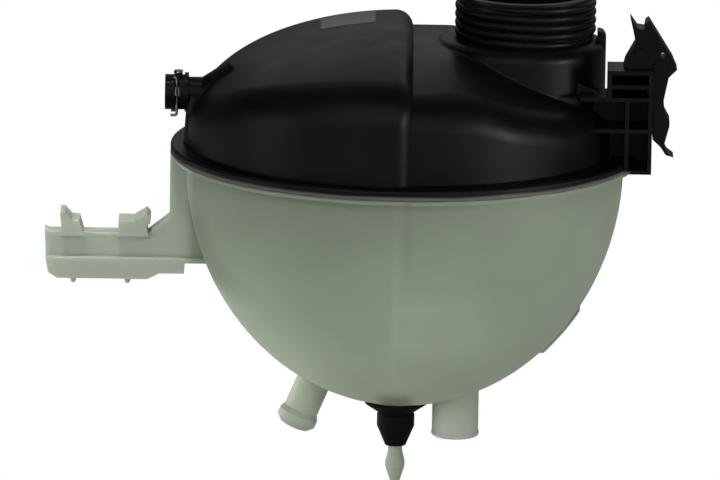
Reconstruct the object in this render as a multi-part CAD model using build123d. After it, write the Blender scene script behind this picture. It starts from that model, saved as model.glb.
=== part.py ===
"""Coolant expansion tank: a pale bowl and a black housing welded at a flange.

Sizes are millimetres. The working frame has the weld plane at Z = 0 and the tank axis at X = Y = 0,
with the camera side at -Y. Every node is moved to the part frame on export, whose origin is the seat
of the rubber grommet on the locating peg.
"""

import os
from math import acos, cos, degrees, radians, sin, sqrt, tan

from build123d import *

os.makedirs("parts", exist_ok=True)

# Shells and weld flange
WALL = 2.8
BOWL_RADIUS = 93.0
BOWL_RIM = 3.0
BOWL_DEPTH = 108.0
BOWL_FLAT = 6.0
FLANGE_WIDTH = 6.5
FLANGE_STEP = 1.0
FLANGE_EDGE = 1.2
UPPER_FLANGE = 4.0
LOWER_FLANGE = 2.2
OVERCUT = 1.0

# Baffle between the chambers and raised pad on the bowl
BAFFLE = 2.6
BAFFLE_DROP = 50.0
WINDOW_WIDTH = 30.0
WINDOW_HEIGHT = 14.0
WINDOW_SILL = 7.0
PAD_RISE = 1.2
PAD_WIDTH = 28.0
PAD_HEIGHT = 17.0
PAD_DROP = 66.0

# Housing: hump on the left of the crease, lower chamber on the right
CROWN_RADIUS = 337.0
HUMP_STEP = 0.5
HUMP_OVERSHOOT = 4.5
HUMP_TOP = 56.0
HUMP_EDGE = 18.0
CREASE_X = 3.0
CREASE_EDGE = 7.5
CHAMBER_STEP = 4.5
CHAMBER_TOP = 49.5
CHAMBER_EDGE = 16.0
CHAMBER_KNEE_X = 26.0
CHAMBER_SLOPE = 25.0
KNEE_BLEND = 40.0

# Filler neck on its tower
NECK_INSET = 42.7
NECK_RADIUS = 28.6
NECK_WALL = 3.6
NECK_HEIGHT = 18.7
TOWER_LEDGE = 7.9
TOWER_SHIFT = 2.2
TOWER_RISE = 1.8
TOWER_EDGE = 5.5
TOWER_ROOT = 1.6
STOP_WIDTH = 9.0
STOP_RISE = 3.4
STOP_GAP = 2.0
STOP_EDGE = 2.6

# Vent socket, on an axis along X
VENT_Z = 25.0
VENT_REACH = 9.6
VENT_TUBE = 6.5
VENT_HEAD = 7.5
VENT_COLLAR = 8.4
VENT_HEAD_LENGTH = 10.0
VENT_COLLAR_LENGTH = 1.6
VENT_LEAD = 5.6
VENT_BORE = 5.0
VENT_DUCT = 3.6
VENT_FLARE = 14.0
VENT_FLARE_LENGTH = 11.5
VENT_FOOT_REACH = 1.7
VENT_FOOT_DRAFT = 1.5
VENT_FOOT_WIDTH = 18.0
VENT_FOOT_EDGE = 4.0
SEAL_DEPTH = 1.4
SEAL_WIDTH = 2.3
SEAL_SHOULDER = 0.4
SEAL_SIZE = 0.95
SEAL_CLEARANCE = 0.1

# Wire clip of the vent socket
WIRE = 0.6
WIRE_INSET = 5.1
WIRE_BITE = 0.5
WIRE_CLEARANCE = 0.25
WIRE_RISE = 1.1
WIRE_SHOULDER = 1.1
WIRE_DROP = 1.6
WIRE_LEAN = 2.0
WIRE_ARCH = 1.8
WIRE_ARCH_HALF = 2.6
WIRE_TOE = 2.6
WIRE_BEND = 1.0

# Ribbed bracket on the right
RIB = 1.7
BRACKET_PROUD = 4.4
BRACKET_FRONT_Y = -38.0
BRACKET_DEPTH = 20.6
BRACKET_LENGTH = 30.4
BRACKET_CELL = 10.6
BRACKET_MIDDLE = 18.5
BRACKET_SHELF = 32.0
BRACKET_HEAD_LENGTH = 18.9
BRACKET_HEAD_HEIGHT = 12.4
GUSSET_INSET = 11.5
GUSSET_RISE = 6.4
GUSSET_RUN = 12.0
GUSSET_TOE = 22.0

# Clip hooked over the bracket corner
CLIP_WIDTH = 12.0
CLIP_RISE = 21.9
CLIP_FALL = 25.3
CLIP_BEAK = 10.2
CLIP_SEAT = 12.4
CLIP_PIVOT = 2.8
CLIP_PIVOT_RISE = 1.4
CLIP_EYE = 1.3
TONGUE_WIDTH = 7.0
TONGUE_HEIGHT = 2.6
TONGUE_CATCH = 0.8
TONGUE_MARGIN = 0.6
TONGUE_CLEARANCE = 0.15

# Locating peg, boss and grommet
PEG_X = -2.0
PEG_RADIUS = 3.0
PEG_TIP = 2.0
BARB_RISE = 1.1
BARB_LENGTH = 17.0
BOSS_RADIUS = 11.0
BOSS_DROP = 1.5
GROMMET_LIP = 2.2
GROMMET_CUP = 1.6
GROMMET_RIM = 1.0
GROMMET_NECK = 4.0
GROMMET_GROOVE = 0.5
GROMMET_LAND = 8.0
GROMMET_LAND_LENGTH = 5.0
GROMMET_TAPER = 8.5
GROMMET_WALL = 1.4
RUBBER_CLEARANCE = 0.05

# Angled hose nipple
NIPPLE_X = -37.0
NIPPLE_LEAN = 23.0
NIPPLE_RADIUS = 7.35
NIPPLE_WALL = 2.15
NIPPLE_LENGTH = 21.5
BEAD_RISE = 1.15
BEAD_LENGTH = 3.0
BEAD_EDGE = 0.6

# Level sensor socket with its float
SENSOR_X = 23.4
SOCKET_BORE = 8.2
SOCKET_WALL = 1.7
SOCKET_DROP = 14.6
SOCKET_DEPTH = 13.7
SOCKET_LIP = 0.3
SOCKET_LIP_LENGTH = 2.0
SOCKET_EDGE = 1.5
DOME_RADIUS = 6.2
DOME_WALL = 1.8
FLOAT_SEAT = 2.8
FLOAT_FLOOR_GAP = 1.8
FLOAT_WALL = 1.5
FLOAT_SKIN = 2.7
FLOAT_HEIGHT = 9.0
FLOAT_TRAVEL = 6.0
FLOAT_CLEARANCE = 0.5
MAGNET_WIDTH = 2.6
MAGNET_HEIGHT = 3.0
RETAINER = 1.2
RETAINER_WIDTH = 3.2
RETAINER_BITE = 0.5
FIT = 0.1

# Holder arm on the left
ARM_DROP = 35.4
ARM_BEAM = 10.2
ARM_KEEL = 9.1
ARM_WEB = 5.0
ARM_BLOCK = 9.0
ARM_SKIN = 2.4
ARM_NOSE = 7.0
ARM_CHIN = 5.0
ARM_LIFT = 2.6
ARM_STEP = 2.0
RAMP_RUN = 9.1
RAMP_RISE = 7.2
SADDLE_GAP = 14.8
JAW_OUT = 9.1
JAW_IN = 12.5
JAW_TOP = 5.5
JAW_HORN = 3.4
JAW_FLARE = 1.0
JAW_HALF_WIDTH = 8.0
FOOT_RADIUS = 2.2
FOOT_TIP = 0.8
FOOT_LENGTH = 3.5
FOOT_OUT = 4.7
FOOT_IN = 8.6


def bowl_z(radius: float, inset: float) -> float:
    """Height of the bowl's surface, drawn in by inset, at a radius from the tank axis."""
    depth = BOWL_DEPTH - BOWL_RIM - inset
    return -BOWL_RIM - depth * sqrt(1 - (radius / (BOWL_RADIUS - inset)) ** 2)


# Derived places and sizes
FLANGE_RADIUS = BOWL_RADIUS + FLANGE_WIDTH
HUMP_RADIUS = BOWL_RADIUS - HUMP_STEP
HUMP_REACH = HUMP_RADIUS + HUMP_OVERSHOOT
CHAMBER_RADIUS = BOWL_RADIUS - CHAMBER_STEP
BAFFLE_X = CREASE_X - WALL + BAFFLE / 2
NECK_X = BOWL_RADIUS - NECK_INSET
NECK_BORE = NECK_RADIUS - NECK_WALL
TOWER_X = NECK_X - TOWER_SHIFT
TOWER_RADIUS = NECK_RADIUS + TOWER_LEDGE
TOWER_TOP = CHAMBER_TOP + TOWER_RISE
NECK_TOP = TOWER_TOP + NECK_HEIGHT
VENT_MOUTH_X = -HUMP_RADIUS - VENT_REACH
VENT_HEAD_X = VENT_MOUTH_X + VENT_HEAD_LENGTH
SEAL_X = VENT_HEAD_X - SEAL_SHOULDER - SEAL_WIDTH / 2
WIRE_X = VENT_MOUTH_X + WIRE_INSET
VENT_LEAD_X = WIRE_X - WIRE - 2 * WIRE_CLEARANCE
VENT_FOOT_X = -HUMP_RADIUS - VENT_FOOT_REACH
WIRE_Y = VENT_BORE + WIRE - WIRE_BITE
BRACKET_FACE_X = FLANGE_RADIUS + BRACKET_PROUD
BRACKET_BACK_Y = BRACKET_FRONT_Y + BRACKET_DEPTH
BRACKET_BAND = BRACKET_SHELF + RIB + TONGUE_HEIGHT + 2 * TONGUE_MARGIN
BRACKET_TOP = BRACKET_SHELF + BRACKET_HEAD_HEIGHT
CLIP_Y = (BRACKET_FRONT_Y + BRACKET_BACK_Y) / 2
BOSS_Z = -BOWL_DEPTH - BOSS_DROP
SEAT_Z = BOSS_Z - GROMMET_NECK - GROMMET_LAND_LENGTH / 2
GROMMET_END_Z = BOSS_Z - GROMMET_NECK - GROMMET_LAND_LENGTH - GROMMET_TAPER
PEG_END_Z = GROMMET_END_Z - BARB_LENGTH
SOCKET_Z = -BOWL_DEPTH - SOCKET_DROP
SOCKET_RADIUS = SOCKET_BORE + SOCKET_WALL
FLOAT_BORE = DOME_RADIUS + FLOAT_CLEARANCE
MAGNET_BORE = FLOAT_BORE + FLOAT_WALL
MAGNET_RADIUS = MAGNET_BORE + MAGNET_WIDTH
FLOAT_RADIUS = MAGNET_RADIUS + FLOAT_SKIN
FLOAT_SEAT_Z = bowl_z(SENSOR_X + FLOAT_RADIUS, WALL) + FLOAT_FLOOR_GAP
RETAINER_Z = FLOAT_SEAT_Z + FLOAT_HEIGHT + FLOAT_TRAVEL
DOME_TOP = RETAINER_Z + 2 * RETAINER
ARM_ROOT_X = -FLANGE_RADIUS
JAW_IN_X = ARM_ROOT_X - RAMP_RUN
SADDLE_IN_X = JAW_IN_X - JAW_IN
SADDLE_OUT_X = SADDLE_IN_X - SADDLE_GAP
JAW_OUT_X = SADDLE_OUT_X - JAW_OUT
ARM_END_X = JAW_OUT_X - ARM_NOSE
ARM_SADDLE_Z = -ARM_DROP
ARM_SHELF_Z = ARM_SADDLE_Z - ARM_BEAM
ARM_BOTTOM_Z = ARM_SHELF_Z - ARM_KEEL


def drawn(*points) -> Face:
    """Closed straight-sided outline in the XZ plane."""
    return Plane.XZ * make_face(Polyline(*points, close=True))


def slab(outline: Face, half_width: float, at_y: float = 0) -> Part:
    """Outline in the XZ plane, thickened evenly to both sides of at_y."""
    return Pos(0, at_y, 0) * extrude(outline, half_width, both=True)


def block(x: tuple, y: tuple, z: tuple) -> Part:
    """Box between two limits on each axis."""
    size = (x[1] - x[0], y[1] - y[0], z[1] - z[0])
    return Pos((x[0] + x[1]) / 2, (y[0] + y[1]) / 2, (z[0] + z[1]) / 2) * Box(*size)


def post(radius: float, x: float, low: float, high: float, y: float = 0) -> Part:
    """Upright cylinder between two heights."""
    return Pos(x, y, (low + high) / 2) * Cylinder(radius, high - low)


def bar(radius: float, left: float, right: float, z: float) -> Part:
    """Cylinder along X between two places."""
    return Pos((left + right) / 2, 0, z) * Rot(0, 90, 0) * Cylinder(radius, right - left)


def turned(x: float, *points) -> Part:
    """Profile of (radius, height) points turned about an upright axis at x."""
    return Pos(x, 0, 0) * revolve(drawn(*points), Axis.Z)


def bowl(inset: float) -> Part:
    """Half ellipsoid under a short straight rim, drawn in by inset."""
    radius = BOWL_RADIUS - inset
    turns = [acos(BOWL_FLAT / radius) * step / 8 for step in range(9)]
    curve = Spline(*[(radius * cos(turn), bowl_z(radius * cos(turn), inset)) for turn in turns])
    sides = Polyline(curve @ 1, (0, (curve @ 1).Y), (0, 0), (radius, 0), curve @ 0)
    return Rot(0, 0, 90) * revolve(Plane.XZ * make_face(curve + sides), Axis.Z)


def crowned(outline: Face, top: float, radius: float, seam: float) -> Part:
    """Roof outline turned about a far axis along X, cut to a round wall with its seam at an angle."""
    axis = Axis((0, 0, top - CROWN_RADIUS), (1, 0, 0))
    sweep_angle = 2 * degrees(radius / (CROWN_RADIUS - top)) * 1.1
    roof = revolve(outline, axis, sweep_angle).rotate(axis, -sweep_angle / 2)
    wall = Rot(0, 0, seam) * post(radius, 0, 0, top + WALL)
    return wall & roof


def hump(inset: float) -> Part:
    """Left chamber with an elliptical roof, rounded at the wall and at the crease."""
    reach, top, right = HUMP_REACH - inset, HUMP_TOP - inset, CREASE_X - inset
    start = degrees(acos(right / reach))
    arc = EllipticalCenterArc((0, 0), reach, top, start, arc_size=180 - start)
    height = top * sqrt(1 - (right / reach) ** 2)
    sides = Polyline((-reach, 0), (-reach, -top), (right, -top), (right, height))
    body = crowned(Plane.XZ * make_face(arc + sides), HUMP_TOP, HUMP_RADIUS - inset, 0)
    rim = [e for e in body.edges() if e.center().X < right - 1 and e.center().Z > 1]
    body = fillet(rim, HUMP_EDGE - inset)
    crease = [e for e in body.edges() if abs(e.center().X - right) < 0.01 and e.center().Z > 0.1]
    return fillet(crease, CREASE_EDGE - inset)


def chamber(inset: float, left: float) -> Part:
    """Right chamber: level near the crease, then falling away to the right."""
    top, right = CHAMBER_TOP - inset, CHAMBER_RADIUS + WALL
    fall = (right - CHAMBER_KNEE_X) * tan(radians(CHAMBER_SLOPE))
    outline = drawn((left, -top), (left, top), (CHAMBER_KNEE_X, top), (right, top - fall), (right, -top))
    knee = [v for v in outline.vertices() if abs(v.X - CHAMBER_KNEE_X) < 0.01]
    body = crowned(fillet(knee, KNEE_BLEND - inset), CHAMBER_TOP, CHAMBER_RADIUS - inset, 180)
    rim = [e for e in body.edges() if e.center().X > left + 1 and e.center().Z > 1]
    return fillet(rim, CHAMBER_EDGE - inset)


def shoulder(inset: float, low: float) -> Part:
    """Round tower with a rounded shoulder, drawn in by inset."""
    tower = post(TOWER_RADIUS - inset, TOWER_X, low, TOWER_TOP - inset)
    return fillet(tower.edges().group_by(Axis.Z)[-1], TOWER_EDGE - inset)


def on_tower(edge: Edge) -> bool:
    """True for the edges where the tower's wall or shoulder meets the roof around it."""
    if edge.geom_type == GeomType.CIRCLE:
        return False
    for spot in (edge @ share for share in (0, 0.25, 0.5, 0.75, 1)):
        over = max(0, spot.Z - TOWER_TOP + TOWER_EDGE)
        skin = TOWER_RADIUS - TOWER_EDGE + sqrt(max(0, TOWER_EDGE**2 - over**2))
        if abs(sqrt((spot.X - TOWER_X) ** 2 + spot.Y**2) - skin) > 0.02:
            return False
    return True


def bracket() -> Part:
    """Open-fronted rib frame that carries the line clip."""
    front, back, face = BRACKET_FRONT_Y, BRACKET_BACK_Y, BRACKET_FACE_X
    root, head = face - BRACKET_LENGTH, face - BRACKET_HEAD_LENGTH
    frame = block((root, face), (front, back), (0, BRACKET_SHELF + RIB / 2))
    frame += block((head, face), (front, back), (BRACKET_SHELF, BRACKET_TOP))
    deep = (front - OVERCUT, back - RIB)
    rows = (RIB / 2, BRACKET_MIDDLE, BRACKET_SHELF)
    columns = (root - RIB, face - BRACKET_CELL, face - RIB / 2)
    for low, high in zip(rows, rows[1:]):
        for left, right in zip(columns, columns[1:]):
            frame -= block((left + RIB / 2, right - RIB / 2), deep, (low + RIB / 2, high - RIB / 2))
    rows = (BRACKET_SHELF, BRACKET_BAND, BRACKET_TOP - RIB / 2)
    for low, high in zip(rows, rows[1:]):
        frame -= block((head + RIB, face - RIB), deep, (low + RIB / 2, high - RIB / 2))
    toe = face - GUSSET_TOE
    heel = toe - GUSSET_RUN
    gusset = drawn((heel, BRACKET_SHELF + GUSSET_RISE), (toe, BRACKET_SHELF), (heel, BRACKET_SHELF))
    return frame + slab(gusset, RIB / 2, front + GUSSET_INSET)


def tongue(clearance: float) -> Part:
    """Snap tongue of the line clip, or with clearance its slot, through the bracket face."""
    width, height = TONGUE_WIDTH / 2 + clearance, TONGUE_HEIGHT / 2 + clearance
    middle = (BRACKET_SHELF + BRACKET_BAND) / 2
    reach = (BRACKET_FACE_X - RIB - TONGUE_CATCH, BRACKET_FACE_X + OVERCUT)
    return block(reach, (CLIP_Y - width, CLIP_Y + width), (middle - height, middle + height))


def vent_outside() -> Part:
    """Socket head, collar, tube, the foot under it and the flare that runs into the hump."""
    part = bar(VENT_TUBE, VENT_HEAD_X - OVERCUT, -HUMP_RADIUS / 2, VENT_Z)
    part += bar(VENT_HEAD, VENT_MOUTH_X, VENT_HEAD_X, VENT_Z)
    part += bar(VENT_COLLAR, VENT_HEAD_X - VENT_COLLAR_LENGTH, VENT_HEAD_X, VENT_Z)
    foot = slab(
        drawn(
            (VENT_FOOT_X, 0),
            (VENT_FOOT_X + VENT_FOOT_DRAFT, VENT_Z),
            (-HUMP_RADIUS / 2, VENT_Z),
            (-HUMP_RADIUS / 2, 0),
        ),
        VENT_FOOT_WIDTH / 2,
    )
    upright = [e for e in foot.edges() if 1 < e.center().Z < VENT_Z - 1]
    part += fillet([e for e in upright if e.center().X < -HUMP_RADIUS], VENT_FOOT_EDGE)
    flare_x = VENT_HEAD_X + VENT_FLARE_LENGTH
    flare = Cone(VENT_TUBE, VENT_FLARE, VENT_FLARE_LENGTH)
    return part + Pos(flare_x, 0, VENT_Z) * Rot(0, 90, 0) * flare


def vent_inside() -> Part:
    """Stepped bore, seal groove, duct to the tank and the two slots for the wire."""
    part = bar(VENT_LEAD, VENT_MOUTH_X - OVERCUT, VENT_LEAD_X, VENT_Z)
    part += bar(VENT_BORE, VENT_MOUTH_X, VENT_HEAD_X, VENT_Z)
    part += bar(VENT_BORE + SEAL_DEPTH, SEAL_X - SEAL_WIDTH / 2, SEAL_X + SEAL_WIDTH / 2, VENT_Z)
    part += bar(VENT_DUCT, VENT_MOUTH_X, -HUMP_RADIUS / 2, VENT_Z)
    slot = (WIRE_X - WIRE - WIRE_CLEARANCE, WIRE_X + WIRE + WIRE_CLEARANCE)
    depth = WIRE_Y - WIRE - WIRE_CLEARANCE
    for y in ((depth, VENT_COLLAR), (-VENT_COLLAR, -depth)):
        part += block(slot, y, (VENT_Z - VENT_COLLAR, VENT_Z + VENT_COLLAR))
    return part


def upper_tank_shell() -> Part:
    """Black housing with flange, two chambers, neck tower, vent socket and bracket."""
    part = hump(0) + chamber(0, -CREASE_X - 2 * CREASE_EDGE)
    rim = post(FLANGE_RADIUS, 0, 0, UPPER_FLANGE)
    part += fillet(rim.edges().group_by(Axis.Z)[-1], FLANGE_EDGE)
    part += shoulder(0, UPPER_FLANGE)
    foot = [e for e in part.edges() if on_tower(e)]
    part = fillet(foot, TOWER_ROOT)
    part += post(NECK_RADIUS, NECK_X, TOWER_TOP - WALL, NECK_TOP)
    stop = block(
        (NECK_X + NECK_RADIUS + STOP_GAP, TOWER_X + TOWER_RADIUS),
        (-STOP_WIDTH / 2, STOP_WIDTH / 2),
        (TOWER_TOP - TOWER_EDGE, TOWER_TOP + STOP_RISE),
    )
    stop = stop & post(TOWER_RADIUS, TOWER_X, 0, NECK_TOP)
    part += fillet(stop.edges().group_by(Axis.Z)[-1].sort_by(Axis.X)[-1], STOP_EDGE)
    part += vent_outside() + bracket()
    inside = hump(WALL) + chamber(WALL, BAFFLE_X + BAFFLE / 2)
    inside += shoulder(WALL, 0)
    inside += post(NECK_BORE, NECK_X, 0, NECK_TOP + OVERCUT)
    part -= inside + vent_inside() + tongue(TONGUE_CLEARANCE)
    across, up = (BAFFLE_X - WALL, BAFFLE_X + WALL), (WINDOW_SILL, WINDOW_SILL + WINDOW_HEIGHT)
    return part - block(across, (-WINDOW_WIDTH / 2, WINDOW_WIDTH / 2), up)


def vent_retaining_clip() -> Part:
    """Wire arched over the socket head, a leg in each slot, toes turned out below."""
    crown, toe = VENT_Z + VENT_HEAD, VENT_Z - VENT_HEAD - WIRE_DROP
    half = [
        (WIRE_X - WIRE_TOE, WIRE_Y, toe),
        (WIRE_X, WIRE_Y, toe),
        (WIRE_X, WIRE_Y, crown - WIRE_SHOULDER),
        (WIRE_X - WIRE_LEAN, WIRE_Y, crown + WIRE),
        (WIRE_X + WIRE_ARCH, WIRE_ARCH_HALF, crown + WIRE_RISE),
    ]
    front = [(x, -y, z) for x, y, z in half]
    path = FilletPolyline(*front, *reversed(half), radius=WIRE_BEND)
    return sweep(Plane(path @ 0, z_dir=path % 0) * Circle(WIRE), path)


def vent_seal_ring() -> Part:
    """O-ring in the groove of the vent bore, standing a little into the bore."""
    ring = Torus(VENT_BORE + SEAL_DEPTH - SEAL_CLEARANCE - SEAL_SIZE, SEAL_SIZE)
    return Pos(SEAL_X, 0, VENT_Z) * Rot(0, 90, 0) * ring


def line_clip() -> Part:
    """Hooked clip over the bracket corner, with two prongs, a beak and a curled tail."""
    face, top, foot = BRACKET_FACE_X, BRACKET_TOP, BRACKET_SHELF

    def left(share: float, rise: float) -> tuple:
        return face - share * CLIP_SEAT, top + rise * CLIP_RISE

    def right(share: float, fall: float) -> tuple:
        return face + share * CLIP_BEAK, foot - fall * CLIP_FALL

    prongs = [left(0.6, 0.5), left(0.71, 0.79), left(0.8, 1), left(0.55, 0.8), left(0.31, 0.78)]
    prongs += [left(0.27, 0.9), left(0.16, 0.95)]
    beak = [(face + CLIP_BEAK * 0.79, top + CLIP_RISE * 0.22), (face + CLIP_BEAK, top)]
    belly = [(face + CLIP_BEAK * 0.66, top - 2 * RIB), right(0.47, 0.03), right(0.51, 0.22)]
    belly += [right(0.73, 0.38), right(0.73, 0.47), right(0.51, 0.81)]
    tail = [right(0.65, 0.92), right(0.92, 1), right(0.59, 0.96), right(0.38, 0.83)]
    strip = [right(0.04, 0.7), right(0.03, 0.46), right(0.03, 0.06), (face, foot)]
    seat = [(face, top), left(1, 0), left(0.94, 0.15)]
    body = slab(drawn(*prongs, *beak, *belly, *tail, *strip, *seat), CLIP_WIDTH / 2, CLIP_Y)
    pivots = [left(0.4, 0.27), (face + 1.15 * CLIP_PIVOT, top + 0.5 * CLIP_PIVOT)]
    for x, z in pivots:
        pin = Cylinder(CLIP_PIVOT, CLIP_WIDTH + 2 * CLIP_PIVOT_RISE)
        body += Pos(x, CLIP_Y, z) * Rot(90, 0, 0) * pin
    eye = Pos(face + CLIP_BEAK * 0.4, CLIP_Y, top + CLIP_RISE * 0.27) * Rot(90, 0, 0)
    return body - eye * Cylinder(CLIP_EYE, 2 * CLIP_WIDTH) + tongue(0)


def mounting_grommet() -> Part:
    """Rubber collar cupped over the boss, with a land for the car body's hole."""
    bore, top, collar = PEG_RADIUS + RUBBER_CLEARANCE, BOSS_Z + GROMMET_CUP, BOSS_RADIUS + GROMMET_LIP
    high, waist = BOSS_Z - GROMMET_NECK, GROMMET_LAND - GROMMET_GROOVE
    return turned(
        PEG_X,
        (bore, BOSS_Z),
        (BOSS_RADIUS + RUBBER_CLEARANCE, BOSS_Z),
        (BOSS_RADIUS + RUBBER_CLEARANCE, top),
        (collar, top),
        (collar, top - GROMMET_RIM),
        (waist, BOSS_Z - GROMMET_NECK * 0.8),
        (GROMMET_LAND, high),
        (GROMMET_LAND, high - GROMMET_LAND_LENGTH),
        (PEG_RADIUS + GROMMET_WALL, GROMMET_END_Z),
        (bore, GROMMET_END_Z),
    )


def peg() -> Part:
    """Boss under the bowl with the barbed peg."""
    root, barb = -BOWL_DEPTH + 2 * WALL, PEG_RADIUS + BARB_RISE
    return turned(
        PEG_X,
        (0, root),
        (BOSS_RADIUS, root),
        (BOSS_RADIUS, BOSS_Z),
        (PEG_RADIUS, BOSS_Z),
        (PEG_RADIUS, GROMMET_END_Z - BARB_LENGTH * 0.15),
        (barb, GROMMET_END_Z - BARB_LENGTH * 0.4),
        (barb, GROMMET_END_Z - BARB_LENGTH * 0.55),
        (PEG_TIP, PEG_END_Z + PEG_TIP / 2),
        (PEG_TIP / 2, PEG_END_Z),
        (0, PEG_END_Z),
    )


def along_nipple(part: Part) -> Part:
    """Place a part drawn upright, with its end at Z = 0, on the axis of the hose nipple."""
    lean = radians(NIPPLE_LEAN)
    end_z = bowl_z(NIPPLE_X, 0) - NIPPLE_LENGTH * cos(lean)
    return Pos(NIPPLE_X - NIPPLE_LENGTH * sin(lean), 0, end_z) * Rot(0, NIPPLE_LEAN, 0) * part


def nipple() -> Part:
    """Hose nipple with a tapered bead at its end."""
    run, bead = NIPPLE_LENGTH + 3 * WALL, NIPPLE_RADIUS + BEAD_RISE
    profile = drawn(
        (0, 0),
        (NIPPLE_RADIUS - BEAD_RISE, 0),
        (bead, 2 * BEAD_RISE),
        (bead, 2 * BEAD_RISE + BEAD_LENGTH),
        (NIPPLE_RADIUS, 4 * BEAD_RISE + BEAD_LENGTH),
        (NIPPLE_RADIUS, run),
        (0, run),
    )
    corners = [v for v in profile.vertices() if v.X > NIPPLE_RADIUS + BEAD_RISE / 2]
    return along_nipple(revolve(fillet(corners, BEAD_EDGE), Axis.Z))


def jaws() -> Part:
    """Two snap jaws on the arm, either side of the saddle."""
    foot, top, tip = ARM_SADDLE_Z - OVERCUT, ARM_SADDLE_Z + JAW_TOP, ARM_SADDLE_Z + JAW_TOP + JAW_HORN
    outer, inner, lean = JAW_OUT_X, JAW_IN_X, JAW_FLARE
    left = drawn(
        (outer, foot),
        (outer - lean, tip),
        (outer + lean, tip),
        (outer + 4 * lean, top),
        (SADDLE_OUT_X - 2 * lean, top),
        (SADDLE_OUT_X, foot),
    )
    right = drawn(
        (SADDLE_IN_X, foot),
        (SADDLE_IN_X, top),
        (inner - 6 * lean, top),
        (inner - lean / 2, tip),
        (inner + lean, tip - 2 * lean),
        (inner + lean, top - lean),
        (inner - lean / 2, top - lean),
        (inner, foot),
    )
    return slab(left, JAW_HALF_WIDTH) + slab(right, JAW_HALF_WIDTH)


def holder_arm() -> Part:
    """Arm with its jaws and feet, cored from behind, and the web that ties it to the bowl wall."""
    top, shelf, bottom = ARM_SADDLE_Z, ARM_SHELF_Z, ARM_BOTTOM_Z
    end, root, inner = ARM_END_X, ARM_ROOT_X, -BOWL_RADIUS / 2
    beam = drawn(
        (end, shelf),
        (end - JAW_FLARE / 2, top + JAW_FLARE),
        (end + JAW_FLARE, top),
        (JAW_IN_X, top),
        (root, top + RAMP_RISE),
        (root, 0),
        (inner, 0),
        (inner, shelf),
    )
    keel = drawn(
        (end, shelf),
        (end + JAW_FLARE, bottom + ARM_CHIN / 2),
        (end + ARM_CHIN, bottom),
        (JAW_IN_X, bottom),
        (JAW_IN_X + 2 * ARM_LIFT, bottom + ARM_LIFT),
        (-BOWL_RADIUS, bottom + ARM_LIFT),
        (-BOWL_RADIUS, shelf - ARM_STEP),
        (inner, shelf - ARM_STEP),
        (inner, shelf),
    )
    part = slab(beam, ARM_WEB) + slab(keel, ARM_BLOCK) + jaws()
    ends = (end + ARM_SKIN, JAW_OUT_X + ARM_SKIN, SADDLE_OUT_X, SADDLE_IN_X, JAW_IN_X)
    core, deep = (ARM_WEB - ARM_SKIN, ARM_BLOCK + OVERCUT), (bottom + ARM_SKIN, shelf - ARM_SKIN)
    for left, right in zip(ends, ends[1:]):
        part -= block((left + ARM_SKIN / 2, right - ARM_SKIN / 2), core, deep)
    for x in (JAW_OUT_X + FOOT_OUT, JAW_IN_X - FOOT_IN):
        part += Pos(x, 0, bottom - FOOT_LENGTH / 2) * Cone(FOOT_TIP, FOOT_RADIUS, FOOT_LENGTH)
    return part


def sensor_dome() -> Part:
    """Closed dome inside the bowl, with the seat of the float and the groove of its stop."""
    floor, seat, neck = -BOWL_DEPTH, DOME_RADIUS + FLOAT_SEAT, DOME_RADIUS - RETAINER_BITE
    return turned(
        SENSOR_X,
        (0, floor),
        (seat, floor),
        (seat, FLOAT_SEAT_Z),
        (DOME_RADIUS, FLOAT_SEAT_Z),
        (DOME_RADIUS, RETAINER_Z),
        (neck, RETAINER_Z),
        (neck, RETAINER_Z + RETAINER),
        (DOME_RADIUS, RETAINER_Z + RETAINER),
        (neck, DOME_TOP),
        (0, DOME_TOP),
    )


def lower_tank_shell() -> Part:
    """Pale bowl with flange, baffle, arm, nipple, sensor socket and peg."""
    part = bowl(0) + post(FLANGE_RADIUS - FLANGE_STEP, 0, -LOWER_FLANGE, 0)
    part += holder_arm() + nipple() + peg()
    part += post(SOCKET_RADIUS, SENSOR_X, SOCKET_Z + SOCKET_LIP_LENGTH, -BOWL_DEPTH / 2)
    lip = post(SOCKET_RADIUS + SOCKET_LIP, SENSOR_X, SOCKET_Z, SOCKET_Z + SOCKET_LIP_LENGTH)
    part += fillet(lip.edges().group_by(Axis.Z)[0], SOCKET_EDGE)
    across, tall = (-PAD_WIDTH / 2, PAD_WIDTH / 2), (-PAD_DROP - PAD_HEIGHT, -PAD_DROP)
    part += bowl(-PAD_RISE) & block((BOWL_RADIUS / 2, FLANGE_RADIUS), across, tall)
    part -= bowl(WALL)
    wall = (BAFFLE_X - BAFFLE / 2, BAFFLE_X + BAFFLE / 2)
    part += bowl(WALL / 2) & block(wall, (-BOWL_RADIUS, BOWL_RADIUS), (-BAFFLE_DROP, 0))
    part += sensor_dome()
    part -= post(SOCKET_BORE, SENSOR_X, SOCKET_Z - OVERCUT, SOCKET_Z + SOCKET_DEPTH)
    part -= post(DOME_RADIUS - DOME_WALL, SENSOR_X, SOCKET_Z, DOME_TOP - WALL)
    bore = along_nipple(post(NIPPLE_RADIUS - NIPPLE_WALL, 0, -OVERCUT, NIPPLE_LENGTH + 4 * WALL))
    return part - bore


def level_float() -> Part:
    """Ring float with a groove in its top for the magnet."""
    low, high = FLOAT_SEAT_Z, FLOAT_SEAT_Z + FLOAT_HEIGHT
    part = post(FLOAT_RADIUS, SENSOR_X, low, high)
    part -= post(FLOAT_BORE, SENSOR_X, low - OVERCUT, high + OVERCUT)
    groove = post(MAGNET_RADIUS + FIT, SENSOR_X, high - MAGNET_HEIGHT, high + OVERCUT)
    return part - (groove - post(MAGNET_BORE - FIT, SENSOR_X, high - MAGNET_HEIGHT, high + OVERCUT))


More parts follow.
